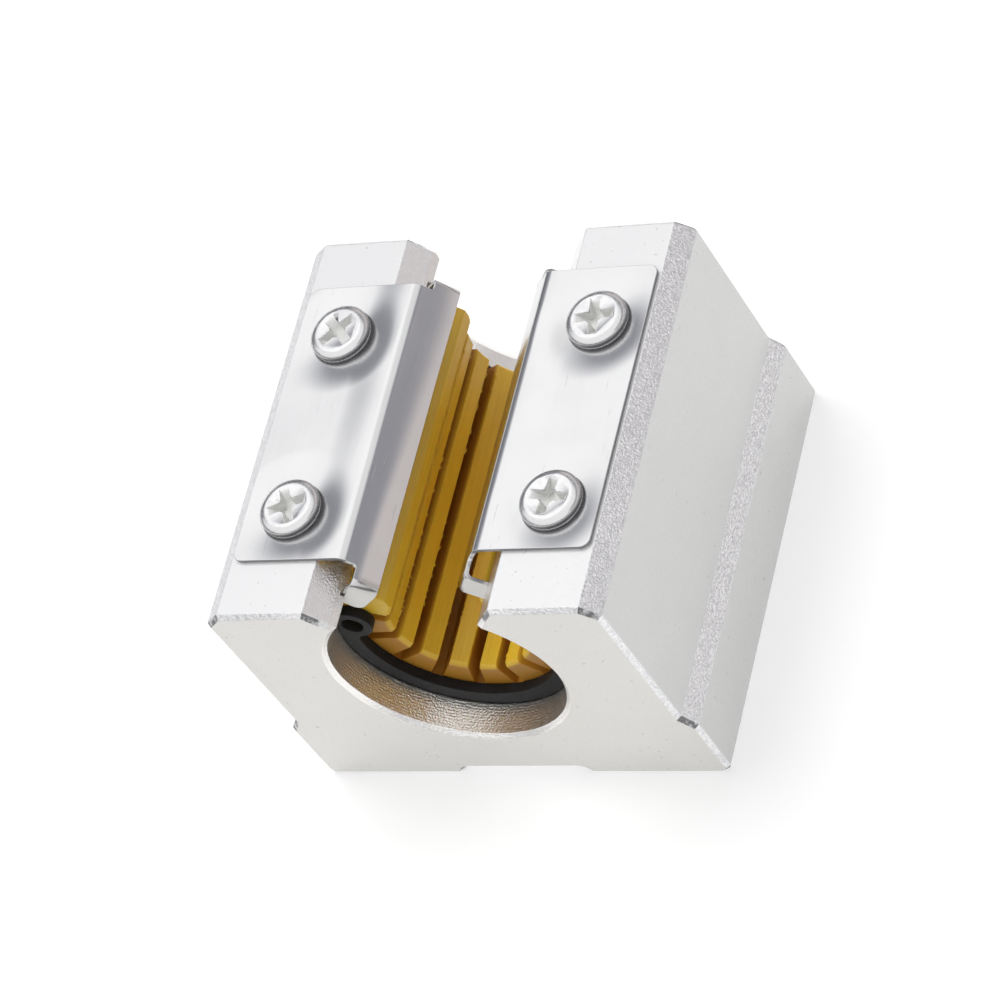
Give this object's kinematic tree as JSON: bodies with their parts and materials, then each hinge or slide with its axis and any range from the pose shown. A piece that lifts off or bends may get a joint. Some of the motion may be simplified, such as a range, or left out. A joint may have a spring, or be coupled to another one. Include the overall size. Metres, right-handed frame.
{
  "type": "open linear bearing block",
  "caption": "Open linear bearing block: aluminium housing with a slotted bore, a ribbed polymer liner held by retaining rings, and folded sheet retainers screwed along the slot.",
  "frame": {"origin": "on the axis of the shaft bore, halfway along it", "axes": "+Y along the bore, +Z out of the rail slot, +X across the block; the mounting face is 17 mm below the bore axis and looks along -Z"},
  "size_m": [0.04, 0.039, 0.0289],
  "materials": {
    "satin_aluminium": "satin, clear anodised",
    "liner_polymer": "moulded, ochre yellow, dry running",
    "ring_steel": "black phosphated spring steel",
    "retainer_stainless": "bright rolled stainless sheet",
    "screw_zinc": "bright zinc"
  },
  "bodies": {
    "root": {"housing": "satin_aluminium", "polymer_liner": "liner_polymer", "front_retaining_ring": "ring_steel", "rear_retaining_ring": "ring_steel", "right_retainer": "retainer_stainless", "left_retainer": "retainer_stainless", "screw_left_front": "screw_zinc", "screw_left_rear": "screw_zinc", "screw_right_front": "screw_zinc", "screw_right_rear": "screw_zinc"}
  },
  "joints": []
}
